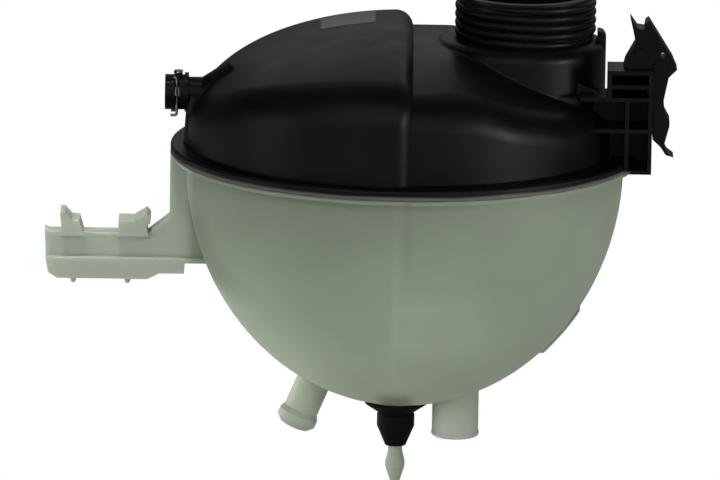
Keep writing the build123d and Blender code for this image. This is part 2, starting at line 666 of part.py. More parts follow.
def float_magnet() -> Part:
    """Ring magnet flush with the top of the float."""
    high = FLOAT_SEAT_Z + FLOAT_HEIGHT
    low = high - MAGNET_HEIGHT
    return post(MAGNET_RADIUS, SENSOR_X, low, high) - post(MAGNET_BORE, SENSOR_X, low, high)


def float_retainer() -> Part:
    """Washer snapped into the groove at the top of the dome."""
    low, high = RETAINER_Z + FIT / 2, RETAINER_Z + RETAINER - FIT / 2
    ring = post(DOME_RADIUS + RETAINER_WIDTH, SENSOR_X, low, high)
    return ring - post(DOME_RADIUS - RETAINER_BITE + FIT / 2, SENSOR_X, low, high)


NODES = {
    "lower_tank_shell": lower_tank_shell,
    "upper_tank_shell": upper_tank_shell,
    "vent_retaining_clip": vent_retaining_clip,
    "vent_seal_ring": vent_seal_ring,
    "line_clip": line_clip,
    "mounting_grommet": mounting_grommet,
    "level_float": level_float,
    "float_magnet": float_magnet,
    "float_retainer": float_retainer,
}

for name, make in NODES.items():
    export_step(Pos(-PEG_X, 0, -SEAT_Z) * make(), f"parts/{name}.step")
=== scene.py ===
"""Dress the coolant expansion tank for a plain studio picture.

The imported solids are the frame. This script gives every solid its finish, adds the neck's
thread, the weld flash and the blank label, and sets up the floor, the lamps and the camera.
"""

from __future__ import annotations

import logging
import math
from dataclasses import dataclass
from enum import Enum
from typing import Any, Sequence

import bmesh
import bpy
from mathutils import Matrix, Vector


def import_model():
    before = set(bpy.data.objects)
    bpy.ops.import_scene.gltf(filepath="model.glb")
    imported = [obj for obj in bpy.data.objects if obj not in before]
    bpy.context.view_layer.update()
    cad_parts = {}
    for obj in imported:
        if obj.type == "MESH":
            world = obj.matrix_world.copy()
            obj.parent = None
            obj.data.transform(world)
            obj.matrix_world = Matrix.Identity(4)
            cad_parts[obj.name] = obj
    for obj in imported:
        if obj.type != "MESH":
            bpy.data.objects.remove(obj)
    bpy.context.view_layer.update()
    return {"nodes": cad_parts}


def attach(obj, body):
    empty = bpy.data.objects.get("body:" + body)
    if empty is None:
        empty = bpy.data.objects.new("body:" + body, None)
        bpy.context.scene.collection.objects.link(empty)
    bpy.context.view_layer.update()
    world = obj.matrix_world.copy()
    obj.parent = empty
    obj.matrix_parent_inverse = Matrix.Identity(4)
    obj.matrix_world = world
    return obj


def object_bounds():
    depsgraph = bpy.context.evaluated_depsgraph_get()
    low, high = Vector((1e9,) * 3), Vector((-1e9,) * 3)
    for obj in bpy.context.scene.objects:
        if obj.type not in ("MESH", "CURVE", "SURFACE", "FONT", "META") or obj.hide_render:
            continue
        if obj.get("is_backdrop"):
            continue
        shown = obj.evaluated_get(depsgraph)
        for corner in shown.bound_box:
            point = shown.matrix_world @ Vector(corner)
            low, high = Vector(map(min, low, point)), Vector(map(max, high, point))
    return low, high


LOG = logging.getLogger("expansion_tank")
MM = 0.001
PHOTO_WIDTH = 720
WHITE = "#ffffff"
TANK_BODY = "tank"
# The Mix node's sockets for colours, by number, because its other kinds share their names.
MIX_SHARE, MIX_UNDER, MIX_OVER, MIX_RESULT = 0, 6, 7, 2


class Slot(Enum):
    """Material slots of the record, by name."""

    BOWL = "bowl_plastic"
    HOUSING = "housing_plastic"
    RETAINER = "retainer_plastic"


def linear(code: str) -> tuple[float, float, float, float]:
    """Turn an sRGB hex colour into linear values.

    Args:
        code: Six hex digits after a hash.

    Returns:
        Red, green, blue and an alpha of one.
    """
    shares = [int(code[i : i + 2], 16) / 255 for i in (1, 3, 5)]
    # The curve of the sRGB standard: a straight foot, then a power.
    red, green, blue = (
        s / 12.92 if s <= 0.04045 else ((s + 0.055) / 1.055) ** 2.4 for s in shares
    )
    return red, green, blue, 1.0


def add_node(
    tree: bpy.types.NodeTree,
    kind: str,
    inputs: dict[Any, Any] | None = None,
    stops: Sequence[tuple[float, str]] = (),
    **settings: Any,
) -> bpy.types.Node:
    """Add a node, set its properties, and fill or link its inputs.

    Args:
        tree: The node tree that gets the node.
        kind: The node's type name.
        inputs: Input name or number to a value, or to a socket that is linked.
        stops: For a colour ramp, places from 0 to 1, each with a hex colour.
        **settings: Properties of the node.

    Returns:
        The new node.
    """
    node = tree.nodes.new(kind)
    for name, value in settings.items():
        setattr(node, name, value)
    for key, value in (inputs or {}).items():
        if isinstance(value, bpy.types.NodeSocket):
            tree.links.new(value, node.inputs[key])
        else:
            node.inputs[key].default_value = value
    for place, _ in stops[2:]:
        node.color_ramp.elements.new(place)
    for index, (place, code) in enumerate(stops):
        element = node.color_ramp.elements[index]
        element.position, element.color = place, linear(code)
    return node


@dataclass(frozen=True)
class TankPlan:
    """Main sizes of the solids, in millimetres, in the part's frame."""

    axis_x: float = 2.0
    weld_z: float = 116.0
    bowl_depth: float = 108.0
    neck_x: float = 52.3
    neck_radius: float = 28.6
    neck_top: float = 186.0
    crown_radius: float = 337.0
    hump_top: float = 172.0
    hump_reach: float = 97.0

    def roof_z(self, x: float, y: float) -> float:
        """Height of the hump's roof.

        Args:
            x: Place along X in millimetres.
            y: Place along Y in millimetres.

        Returns:
            The height in millimetres.
        """
        share = math.sqrt(1 - ((x - self.axis_x) / self.hump_reach) ** 2)
        rise = (self.hump_top - self.weld_z) * share
        centre = self.hump_top - self.crown_radius
        return centre + math.sqrt((self.weld_z + rise - centre) ** 2 - y**2)


@dataclass(frozen=True)
class Finish:
    """What every finish has: its name and its shader's plain numbers."""

    name: str
    roughness: float
    ior: float = 1.5

    def start(
        self,
    ) -> tuple[bpy.types.Material, bpy.types.NodeTree, bpy.types.Node, bpy.types.NodeSocket]:
        """Begin a material.

        Returns:
            The material, its tree, its shader node and the Object coordinates in millimetres.
        """
        material = bpy.data.materials.new(self.name)
        material.use_nodes = True
        tree = material.node_tree
        shader = tree.nodes["Principled BSDF"]
        shader.inputs["Roughness"].default_value = self.roughness
        shader.inputs["IOR"].default_value = self.ior
        metres = add_node(tree, "ShaderNodeTexCoord").outputs["Object"]
        place = add_node(
            tree, "ShaderNodeMapping", {"Vector": metres, "Scale": (1 / MM, 1 / MM, 1 / MM)}
        ).outputs["Vector"]
        return material, tree, shader, place


@dataclass(frozen=True)
class MouldedBlack(Finish):
    """Black engineering plastic from a fine-etched tool: near black, with soft, dull lights.

    The roughness is the middle one: broad clouds make it a little duller or glossier.
    """

    dark: str = "#030404"
    light: str = "#070808"
    specular: float = 0.07
    gloss_swing: float = 0.05
    gloss_band: tuple[float, float] = (0.3, 0.7)
    cloud_mm: float = 26.0
    cloud_detail: float = 3.0
    cloud_band: tuple[float, float] = (0.35, 0.7)
    grain_mm: float = 0.9
    grain_detail: float = 2.0
    grain_strength: float = 0.35
    grain_height_mm: float = 0.02
    # A grey band along the flange's lower edge, uneven, stopping short of the bracket.
    edge_grey: str = "#4a4d47"
    edge_grey_top_mm: float = 117.1
    edge_grey_soft_mm: float = 1.0
    edge_grey_end_mm: float = 97.0

    def build(self) -> bpy.types.Material:
        """Make the material.

        Returns:
            The finished material.
        """
        material, tree, shader, place = self.start()
        shader.inputs["Specular IOR Level"].default_value = self.specular
        cloud = add_node(
            tree,
            "ShaderNodeTexNoise",
            {"Vector": place, "Scale": 1 / self.cloud_mm, "Detail": self.cloud_detail},
        ).outputs["Fac"]
        stops = list(zip(self.cloud_band, (self.dark, self.light)))
        black = add_node(tree, "ShaderNodeValToRGB", {"Fac": cloud}, stops=stops).outputs["Color"]
        tree.links.new(self.greyed_edge(tree, place, cloud, black), shader.inputs["Base Color"])
        gloss = add_node(
            tree,
            "ShaderNodeMapRange",
            {
                "Value": cloud,
                "From Min": self.gloss_band[0],
                "From Max": self.gloss_band[1],
                "To Min": self.roughness - self.gloss_swing,
                "To Max": self.roughness + self.gloss_swing,
            },
        ).outputs["Result"]
        tree.links.new(gloss, shader.inputs["Roughness"])
        # The etched grain is drawn coarser than it is, or it would not show.
        grain = add_node(
            tree,
            "ShaderNodeTexNoise",
            {"Vector": place, "Scale": 1 / self.grain_mm, "Detail": self.grain_detail},
        ).outputs["Fac"]
        bump = add_node(
            tree,
            "ShaderNodeBump",
            {
                "Height": grain,
                "Strength": self.grain_strength,
                "Distance": self.grain_height_mm * MM,
            },
        ).outputs["Normal"]
        tree.links.new(bump, shader.inputs["Normal"])
        return material

    def greyed_edge(
        self,
        tree: bpy.types.NodeTree,
        place: bpy.types.NodeSocket,
        cloud: bpy.types.NodeSocket,
        black: bpy.types.NodeSocket,
    ) -> bpy.types.NodeSocket:
        """Grey the flange's lower edge, unevenly, as far as the bracket.

        Args:
            tree: The material's tree.
            place: Object coordinates in millimetres.
            cloud: The noise that makes the edge uneven.
            black: The colour so far.

        Returns:
            The colour with the grey edge.
        """
        axes = add_node(tree, "ShaderNodeSeparateXYZ", {"Vector": place}).outputs
        uneven = add_node(
            tree, "ShaderNodeMath", {0: cloud, 1: axes["Z"]}, operation="ADD"
        ).outputs["Value"]
        low = add_node(
            tree,
            "ShaderNodeMapRange",
            {
                "Value": uneven,
                "From Min": self.edge_grey_top_mm + self.edge_grey_soft_mm,
                "From Max": self.edge_grey_top_mm,
            },
        ).outputs["Result"]
        before_bracket = add_node(
            tree, "ShaderNodeMath", {0: axes["X"], 1: self.edge_grey_end_mm}, operation="LESS_THAN"
        ).outputs["Value"]
        share = add_node(
            tree, "ShaderNodeMath", {0: low, 1: before_bracket}, operation="MULTIPLY"
        ).outputs["Value"]
        both = {MIX_SHARE: share, MIX_UNDER: black, MIX_OVER: linear(self.edge_grey)}
        return add_node(tree, "ShaderNodeMix", both, data_type="RGBA").outputs[MIX_RESULT]


@dataclass(frozen=True)
class PaintedThroughPatch:
    """A faint painted patch, darker as shade, paler as light, for something behind the milky wall.

    It has its edges along X and Z, the width over which they blur, and what it adds to the tone.
    """

    x_mm: tuple[float, float]
    z_mm: tuple[float, float]
    soft_mm: float
    strength: float

    def added(
        self, tree: bpy.types.NodeTree, axes: Any, tone: bpy.types.NodeSocket
    ) -> bpy.types.NodeSocket:
        """Add the patch to a tone.

        Args:
            tree: The material's tree.
            axes: X, Y and Z in millimetres.
            tone: The tone without the patch.

        Returns:
            The tone with it.
        """
        share: Any = self.strength
        for axis, edges in (("X", self.x_mm), ("Z", self.z_mm)):
            for edge, inward in zip(edges, (1, -1)):
                blur = inward * self.soft_mm / 2
                inside = add_node(
                    tree,
                    "ShaderNodeMapRange",
                    {"Value": axes[axis], "From Min": edge - blur, "From Max": edge + blur},
                    interpolation_type="SMOOTHSTEP",
                ).outputs["Result"]
                share = add_node(
                    tree, "ShaderNodeMath", {0: inside, 1: share}, operation="MULTIPLY"
                ).outputs["Value"]
        return add_node(
            tree, "ShaderNodeMath", {0: tone, 1: share}, operation="ADD"
        ).outputs["Value"]


@dataclass(frozen=True)
class NaturalPolypropylene(Finish):
    """Natural polypropylene, moulded uncoloured: milky and a little green.

    Its colour carries painted shade, darker towards the flange and on the web under it, and painted
    light, paler towards the foot and palest in the thin arm, spigots and peg, for the light that
    they let through. Faint patches of painted shade and light stand for what shows through the
    wall.
    """

    plan: TankPlan = TankPlan()
    # Painted shade at the top of the bowl under the flange; the pale tone is painted light at the
    # foot.
    top_shade: str = "#61685b"
    wall: str = "#8c9885"
    pale: str = "#a9b49d"
    # The limbs' colours: paler with painted light for light let through, the web darker with
    # painted shade.
    web: str = "#929b8d"
    limb: str = "#9aa295"
    thin: str = "#aeb4ab"
    inside: str = "#969894"
    specular: float = 0.15
    milk_share: float = 0.75
    milk_mm: float = 6.0
    milk_radii: tuple[float, float, float] = (0.9, 1.0, 0.8)
    # Tones run from 0, painted shade under the flange, to 1, painted light at the foot of the bowl.
    wall_tone: float = 0.6
    rim_tone: float = 0.133
    rim_mm: float = 4.0
    flow_mm: float = 45.0
    flow_detail: float = 3.0
    flow_swing: float = 0.2
    grain_mm: float = 1.6
    grain_detail: float = 2.0
    grain_strength: float = 0.25
    grain_height_mm: float = 0.03
    # A face that looks this far back towards the bowl's middle is inner wall.
    inner_wall_mm: float = -20.0
    # Where the limbs' colours begin and where they are full: painted light for the light that thin
    # parts let through, and painted shade on the web under the flange.
    arm_x_mm: tuple[float, float] = (-86.0, -91.0)
    web_z_mm: tuple[float, float] = (92.0, 84.0)
    foot_z_mm: tuple[float, float] = (18.0, -6.0)
    socket_x_mm: tuple[float, float] = (6.0, 14.0)
    # Patches of painted shade and light for what shows through the wall.
    painted_patches: tuple[PaintedThroughPatch, ...] = ()

    def build(self) -> bpy.types.Material:
        """Make the material.

        Returns:
            The finished material.
        """
        material, tree, shader, place = self.start()
        shader.inputs["Specular IOR Level"].default_value = self.specular
        shader.inputs["Subsurface Weight"].default_value = self.milk_share
        shader.inputs["Subsurface Radius"].default_value = self.milk_radii
        shader.inputs["Subsurface Scale"].default_value = self.milk_mm * MM
        axes = add_node(tree, "ShaderNodeSeparateXYZ", {"Vector": place}).outputs
        tone = self.tone(tree, place, axes)
        stops = [(0.0, self.top_shade), (self.wall_tone, self.wall), (1.0, self.pale)]
        bowl = add_node(tree, "ShaderNodeValToRGB", {"Fac": tone}, stops=stops).outputs["Color"]
        # The arm is paler with painted light, its web darker near the flange with painted shade.
        with_arm = self.limb_over(
            tree,
            self.inside_over(tree, place, bowl),
            share=(axes["X"], self.arm_x_mm),
            turn=(axes["Z"], self.web_z_mm),
            tones=(self.web, self.limb),
        )
        # The foot, spigots and peg are paler with painted light for the light they let through.
        with_feet = self.limb_over(
            tree,
            with_arm,
            share=(axes["Z"], self.foot_z_mm),
            turn=(axes["X"], self.socket_x_mm),
            tones=(self.limb, self.thin),
        )
        tree.links.new(with_feet, shader.inputs["Base Color"])
        # The moulded grain is drawn coarser than it is, or it would not show.
        grain = add_node(
            tree,
            "ShaderNodeTexNoise",
            {"Vector": place, "Scale": 1 / self.grain_mm, "Detail": self.grain_detail},
        ).outputs["Fac"]
        bump = add_node(
            tree,
            "ShaderNodeBump",
            {
                "Height": grain,
                "Strength": self.grain_strength,
                "Distance": self.grain_height_mm * MM,
            },
        ).outputs["Normal"]
        tree.links.new(bump, shader.inputs["Normal"])
        return material

    def inside_over(
        self, tree: bpy.types.NodeTree, place: bpy.types.NodeSocket, under: bpy.types.NodeSocket
    ) -> bpy.types.NodeSocket:
        """Give the inner wall a greyer tone, or light that bounces about inside turns deep green.

        Args:
            tree: The material's tree.
            place: Object coordinates in millimetres.
            under: The colour of the outer wall.

        Returns:
            The colour of both walls.
        """
        facing = add_node(tree, "ShaderNodeTexCoord").outputs["Normal"]
        centre = (self.plan.axis_x, 0.0, self.plan.weld_z)
        away = add_node(
            tree, "ShaderNodeVectorMath", {0: place, 1: centre}, operation="SUBTRACT"
        ).outputs["Vector"]
        outward = add_node(
            tree, "ShaderNodeVectorMath", {0: away, 1: facing}, operation="DOT_PRODUCT"
        ).outputs["Value"]
        inner = add_node(
            tree, "ShaderNodeMath", {0: outward, 1: self.inner_wall_mm}, operation="LESS_THAN"
        ).outputs["Value"]
        both = {MIX_SHARE: inner, MIX_UNDER: under, MIX_OVER: linear(self.inside)}
        return add_node(tree, "ShaderNodeMix", both, data_type="RGBA").outputs[MIX_RESULT]

    def limb_over(
        self,
        tree: bpy.types.NodeTree,
        under: bpy.types.NodeSocket,
        share: tuple[bpy.types.NodeSocket, tuple[float, float]],
        turn: tuple[bpy.types.NodeSocket, tuple[float, float]],
        tones: tuple[str, str],
    ) -> bpy.types.NodeSocket:
        """Lay a thin limb's colour, painted light for light let through, over the colour of the
        bowl.

        Args:
            tree: The material's tree.
            under: The colour so far.
            share: The axis along which the limb starts, with where it starts and is full.
            turn: The axis along which the limb's own colour changes, from where and to where.
            tones: The limb's two colours.

        Returns:
            The colour with the limb's.
        """
        over, change = (
            add_node(
                tree,
                "ShaderNodeMapRange",
                {"Value": axis, "From Min": begin, "From Max": full},
                interpolation_type="SMOOTHSTEP",
            ).outputs["Result"]
            for axis, (begin, full) in (share, turn)
        )
        stops = list(zip((0.0, 1.0), tones))
        limb = add_node(tree, "ShaderNodeValToRGB", {"Fac": change}, stops=stops).outputs["Color"]
        both = {MIX_SHARE: over, MIX_UNDER: under, MIX_OVER: limb}
        return add_node(tree, "ShaderNodeMix", both, data_type="RGBA").outputs[MIX_RESULT]

    def tone(
        self, tree: bpy.types.NodeTree, place: bpy.types.NodeSocket, axes: Any
    ) -> bpy.types.NodeSocket:
        """Work out how pale each point of the bowl is.

        Args:
            tree: The material's tree.
            place: Object coordinates in millimetres.
            axes: X, Y and Z of the same.

        Returns:
            From 0, painted shade under the flange, over the plain wall's tone, to 1,
            painted light at the foot of the bowl.
        """
        # Painted shade darkens the wall towards the flange, painted light brightens it towards the
        # foot.
        fall = add_node(
            tree,
            "ShaderNodeMapRange",
            {
                "Value": axes["Z"],
                "From Min": self.plan.weld_z - self.rim_mm,
                "From Max": self.plan.weld_z - self.plan.bowl_depth,
                "To Min": self.rim_tone,
                "To Max": 1.0,
            },
        ).outputs["Result"]
        flow = add_node(
            tree,
            "ShaderNodeTexNoise",
            {"Vector": place, "Scale": 1 / self.flow_mm, "Detail": self.flow_detail},
        ).outputs["Fac"]
        drift = add_node(
            tree,
            "ShaderNodeMath",
            {0: flow, 1: self.flow_swing, 2: -self.flow_swing / 2},
            operation="MULTIPLY_ADD",
        ).outputs["Value"]
        tone = add_node(
            tree, "ShaderNodeMath", {0: fall, 1: drift}, operation="ADD"
        ).outputs["Value"]
        # Painted shade and light where things behind the wall show through.
        for shade in self.painted_patches:
            tone = shade.added(tree, axes, tone)
        return tone


@dataclass(frozen=True)
class DrawnSteel(Finish):
    """Drawn spring steel: grey and a little dull, with a fine mottle left by the die."""

    tone: str = "#747471"
    shade: str = "#40403e"
    mottle_mm: float = 0.35
    mottle_detail: float = 2.0
    mottle_band: tuple[float, float] = (0.3, 0.6)

    def build(self) -> bpy.types.Material:
        """Make the material.

        Returns:
            The finished material.
        """
        material, tree, shader, place = self.start()
        shader.inputs["Metallic"].default_value = 1.0
        mottle = add_node(
            tree,
            "ShaderNodeTexNoise",
            {"Vector": place, "Scale": 1 / self.mottle_mm, "Detail": self.mottle_detail},
        ).outputs["Fac"]
        stops = list(zip(self.mottle_band, (self.shade, self.tone)))
        grey = add_node(tree, "ShaderNodeValToRGB", {"Fac": mottle}, stops=stops).outputs["Color"]
        tree.links.new(grey, shader.inputs["Base Color"])
        return material


@dataclass(frozen=True, kw_only=True)
class PlainMoulding(Finish):
    """A small moulded or pressed piece: one colour family, broken up by a fine cloud."""

    dark: str
    light: str
    specular: float = 0.25
    cloud_mm: float = 6.0
    cloud_detail: float = 4.0
    cloud_band: tuple[float, float] = (0.35, 0.65)
    bump_strength: float = 0.3
    bump_mm: float = 0.02

    def build(self) -> bpy.types.Material:
        """Make the material.

        Returns:
            The finished material.
        """
        material, tree, shader, place = self.start()
        shader.inputs["Specular IOR Level"].default_value = self.specular
        cloud = add_node(
            tree,
            "ShaderNodeTexNoise",
            {"Vector": place, "Scale": 1 / self.cloud_mm, "Detail": self.cloud_detail},
        ).outputs["Fac"]
        stops = list(zip(self.cloud_band, (self.dark, self.light)))
        colour = add_node(tree, "ShaderNodeValToRGB", {"Fac": cloud}, stops=stops).outputs["Color"]
        tree.links.new(colour, shader.inputs["Base Color"])
        bump = add_node(
            tree,
            "ShaderNodeBump",
            {"Height": cloud, "Strength": self.bump_strength, "Distance": self.bump_mm * MM},
        ).outputs["Normal"]
        tree.links.new(bump, shader.inputs["Normal"])
        return material


def link_piece(
    name: str, mesh: bpy.types.Mesh, material: bpy.types.Material
) -> bpy.types.Object:
    """Show a mesh as a piece of the tank.

    Args:
        name: The piece's name.
        mesh: Its mesh, in the part's frame.
        material: Its finish.

    Returns:
        The new object.
    """
    piece = bpy.data.objects.new(name, mesh)
    bpy.context.scene.collection.objects.link(piece)
    mesh.materials.clear()
    mesh.materials.append(material)
    mesh.polygons.foreach_set("use_smooth", [True] * len(mesh.polygons))
    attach(piece, TANK_BODY)
    LOG.info("%s: %d faces on %s", name, len(mesh.polygons), TANK_BODY)
    return piece


class NodeModifier:
    """A Geometry Nodes tree with named inputs, run once and turned into a plain mesh."""

    def __init__(self, name: str, inputs: dict[str, tuple[str, Any]]) -> None:
        """Begin the tree.

        Args:
            name: The tree's name.
            inputs: Input name to its socket type and value.
        """
        self.tree = bpy.data.node_groups.new(name, "GeometryNodeTree")
        self.values = {key: value for key, (_, value) in inputs.items()}
        for key, (kind, _) in inputs.items():
            self.tree.interface.new_socket(key, in_out="INPUT", socket_type=kind)
        self.tree.interface.new_socket(
            "Geometry", in_out="OUTPUT", socket_type="NodeSocketGeometry"
        )
        self.entry = self.tree.nodes.new("NodeGroupInput").outputs
        self.exit = self.tree.nodes.new("NodeGroupOutput").inputs

    def bake(
        self, geometry: bpy.types.NodeSocket, material: bpy.types.Material
    ) -> bpy.types.Mesh:
        """Finish the tree and make its mesh.

        Args:
            geometry: The socket that holds the shape.
            material: The finish that the tree sets.

        Returns:
            A plain mesh.
        """
        whole = add_node(
            self.tree, "GeometryNodeRealizeInstances", {"Geometry": geometry}
        ).outputs[0]
        dressed = add_node(
            self.tree, "GeometryNodeSetMaterial", {"Geometry": whole, "Material": material}
        ).outputs[0]
        self.tree.links.new(dressed, self.exit["Geometry"])
        holder = bpy.data.objects.new(self.tree.name, bpy.data.meshes.new(self.tree.name))
        bpy.context.scene.collection.objects.link(holder)
        modifier = holder.modifiers.new("nodes", "NODES")
        modifier.node_group = self.tree
        for item in self.tree.interface.items_tree:
            if item.in_out == "INPUT":
                modifier[item.identifier] = self.values[item.name]
        graph = bpy.context.evaluated_depsgraph_get()
        mesh = bpy.data.meshes.new_from_object(holder.evaluated_get(graph))
        holder.modifiers.remove(modifier)
        bpy.data.objects.remove(holder)
        return mesh


@dataclass
class NeckThread:
    """Round-crested thread on the filler neck, fading out at both ends."""

    plan: TankPlan
    crest_mm: float = 1.45
    half_width_mm: float = 1.85
    pitch_mm: float = 3.7
    turns: float = 4.4
    sink_mm: float = 0.1
    below_rim_mm: float = 2.0
    fade_share: float = 0.05
    tip_size: float = 0.25
    steps_per_turn: int = 96
    section_steps: int = 18

    def build(self, material: bpy.types.Material) -> bpy.types.Object:
        """Make the thread along a helix.

        Args:
            material: The housing's finish.

        Returns:
            The piece.
        """
        height = self.pitch_mm * self.turns
        start = self.plan.neck_top - self.below_rim_mm - height
        flatness = self.crest_mm / self.half_width_mm
        nodes = NodeModifier(
            "neck_thread",
            {
                "Radius": ("NodeSocketFloat", (self.plan.neck_radius - self.sink_mm) * MM),
                "Width": ("NodeSocketFloat", self.half_width_mm * MM),
                "Flatness": ("NodeSocketVector", (flatness, 1.0, 1.0)),
                "Height": ("NodeSocketFloat", height * MM),
                "Turns": ("NodeSocketFloat", self.turns),
                "Start": ("NodeSocketVector", (self.plan.neck_x * MM, 0.0, start * MM)),
            },
        )
        tree, entry = nodes.tree, nodes.entry
        helix = add_node(
            tree,
            "GeometryNodeCurveSpiral",
            {
                "Resolution": self.steps_per_turn,
                "Rotations": entry["Turns"],
                "Start Radius": entry["Radius"],
                "End Radius": entry["Radius"],
                "Height": entry["Height"],
            },
        ).outputs[0]
        upright = add_node(
            tree, "GeometryNodeSetCurveNormal", {"Curve": helix}, mode="Z_UP"
        ).outputs[0]
        along = add_node(tree, "GeometryNodeSplineParameter").outputs["Factor"]
        # From 0 at either end of the thread to a half in the middle.
        from_end = add_node(
            tree, "ShaderNodeMath", {0: along, 1: 0.5}, operation="PINGPONG"
        ).outputs["Value"]
        fade = add_node(
            tree,
            "ShaderNodeMapRange",
            {
                "Value": from_end,
                "From Max": self.fade_share,
                "To Min": self.tip_size,
                "To Max": 1.0,
            },
            interpolation_type="SMOOTHSTEP",
        ).outputs["Result"]
        circle = add_node(
            tree,
            "GeometryNodeCurvePrimitiveCircle",
            {"Resolution": self.section_steps, "Radius": entry["Width"]},
        ).outputs[0]
        section = add_node(
            tree, "GeometryNodeTransform", {"Geometry": circle, "Scale": entry["Flatness"]}
        ).outputs[0]
        ridge = add_node(
            tree,
            "GeometryNodeCurveToMesh",
            {"Curve": upright, "Profile Curve": section, "Scale": fade, "Fill Caps": True},
        ).outputs[0]
        moved = add_node(
            tree, "GeometryNodeTransform", {"Geometry": ridge, "Translation": entry["Start"]}
        ).outputs[0]
        mesh = nodes.bake(moved, material)
        return link_piece("neck_thread", mesh, material)


@dataclass
class WeldFlash:
    """Thin, slightly uneven bead where the two flanges were melted together."""

    plan: TankPlan
    radius_mm: float = 98.55
    bead_mm: float = 0.42
    least_size: float = 0.6
    most_size: float = 1.3
    lump_mm: float = 9.0
    ring_steps: int = 360
    section_steps: int = 8

    def build(self, material: bpy.types.Material) -> bpy.types.Object:
        """Make the bead round the flange.

        Args:
            material: The bead's finish.

        Returns:
            The piece.
        """
        low = (self.plan.weld_z - self.bead_mm) * MM
        nodes = NodeModifier(
            "weld_flash",
            {
                "Radius": ("NodeSocketFloat", self.radius_mm * MM),
                "Bead": ("NodeSocketFloat", self.bead_mm * MM),
                "Place": ("NodeSocketVector", (self.plan.axis_x * MM, 0.0, low)),
            },
        )
        tree, entry = nodes.tree, nodes.entry
        ring = add_node(
            tree,
            "GeometryNodeCurvePrimitiveCircle",
            {"Resolution": self.ring_steps, "Radius": entry["Radius"]},
        ).outputs[0]
        spot = add_node(tree, "GeometryNodeInputPosition").outputs[0]
        lumps = add_node(
            tree, "ShaderNodeTexNoise", {"Vector": spot, "Scale": 1 / (self.lump_mm * MM)}
        ).outputs["Fac"]
        size = add_node(
            tree,
            "ShaderNodeMapRange",
            {"Value": lumps, "To Min": self.least_size, "To Max": self.most_size},
        ).outputs["Result"]
        section = add_node(
            tree,
            "GeometryNodeCurvePrimitiveCircle",
            {"Resolution": self.section_steps, "Radius": entry["Bead"]},
        ).outputs[0]
        bead = add_node(
            tree,
            "GeometryNodeCurveToMesh",
            {"Curve": ring, "Profile Curve": section, "Scale": size},
        ).outputs[0]
        moved = add_node(
            tree, "GeometryNodeTransform", {"Geometry": bead, "Translation": entry["Place"]}
        ).outputs[0]
        mesh = nodes.bake(moved, material)
        return link_piece("weld_flash", mesh, material)


@dataclass
class BlankLabel:
    """Thin blank label that follows the hump's roof, half of it sunk into the plastic."""

    plan: TankPlan
    left_mm: float = -35.0
    right_mm: float = -11.0
    front_mm: float = 4.0
    back_mm: float = 44.0
    corner_mm: float = 2.5
    proud_mm: float = 0.25
    cell_mm: float = 1.0

    def build(self, material: bpy.types.Material) -> bpy.types.Object:
        """Make the label as a grid laid on the roof.

        Args:
            material: The label's film.

        Returns:
            The piece.
        """
        width, depth = self.right_mm - self.left_mm, self.back_mm - self.front_mm
        across, deep = round(width / self.cell_mm), round(depth / self.cell_mm)
        half = 0.5
        sheet = bmesh.new()
        bmesh.ops.create_grid(sheet, x_segments=across, y_segments=deep, size=half)
        for vert in sheet.verts:
            x, y = self.rounded(
                self.left_mm + (vert.co.x + half) * width,
                self.front_mm + (vert.co.y + half) * depth,
            )
            vert.co = Vector((x, y, self.plan.roof_z(x, y) + self.proud_mm)) * MM
        mesh = bpy.data.meshes.new("blank_label")
        sheet.to_mesh(mesh)
        sheet.free()
        piece = link_piece("blank_label", mesh, material)
        film = piece.modifiers.new("film", "SOLIDIFY")
        film.thickness, film.offset = 2 * self.proud_mm * MM, -1.0
        return piece

    def rounded(self, x: float, y: float) -> tuple[float, float]:
        """Pull a point of the outline in at a corner.

        Args:
            x: Place along X in millimetres.
            y: Place along Y in millimetres.

        Returns:
            The place with the corners rounded off.
        """
        near_x = min(max(x, self.left_mm + self.corner_mm), self.right_mm - self.corner_mm)
        near_y = min(max(y, self.front_mm + self.corner_mm), self.back_mm - self.corner_mm)
        out_x, out_y = x - near_x, y - near_y
        reach = math.hypot(out_x, out_y)
        if reach <= self.corner_mm or not (out_x and out_y):
            return x, y
        return near_x + out_x * self.corner_mm / reach, near_y + out_y * self.corner_mm / reach


